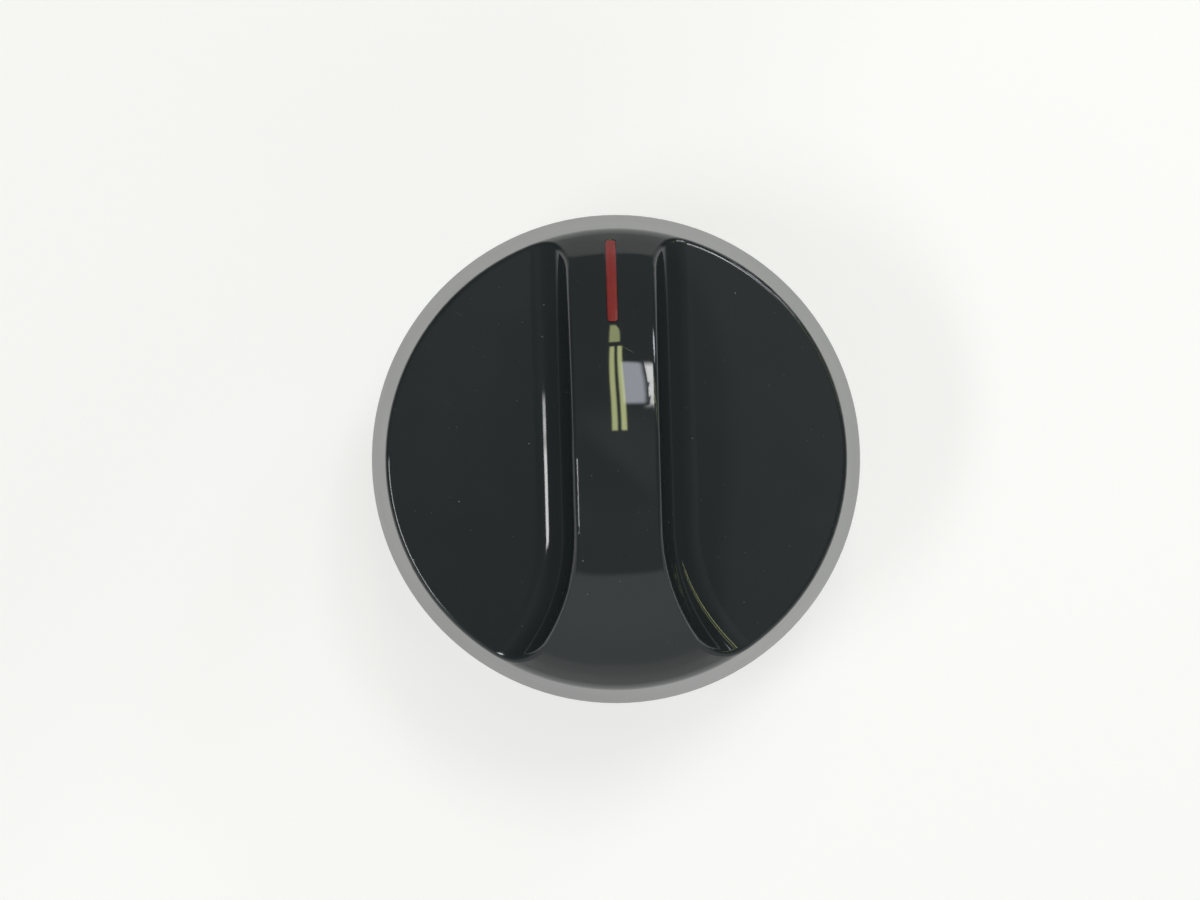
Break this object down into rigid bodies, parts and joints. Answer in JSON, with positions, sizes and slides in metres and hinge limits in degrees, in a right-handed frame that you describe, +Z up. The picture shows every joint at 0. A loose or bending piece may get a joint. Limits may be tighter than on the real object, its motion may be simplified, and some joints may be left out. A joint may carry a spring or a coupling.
{
  "type": "stove knob",
  "caption": "Gloss black push-on stove knob with a round rim, a domed flared grip bar between flat finger faces, a red pointer line and a long stem with a D-shaped socket.",
  "frame": {"origin": "Centre of the stem's end face, the lowest point of the knob, on its turning axis.", "axes": "+Z up along the turning axis, out of the panel towards the user; +Y towards the pointer line; +X to the right when the knob is seen from the front with its pointer up."},
  "size_m": [0.0508, 0.0508, 0.0334],
  "materials": {
    "black_plastic": "moulded gloss black",
    "red_fill": "red fill, satin gloss",
    "spring_steel": "rolled strip"
  },
  "bodies": {
    "root": {"knob_body": "black_plastic", "pointer_line": "red_fill", "stem_spring": "spring_steel"}
  },
  "joints": []
}
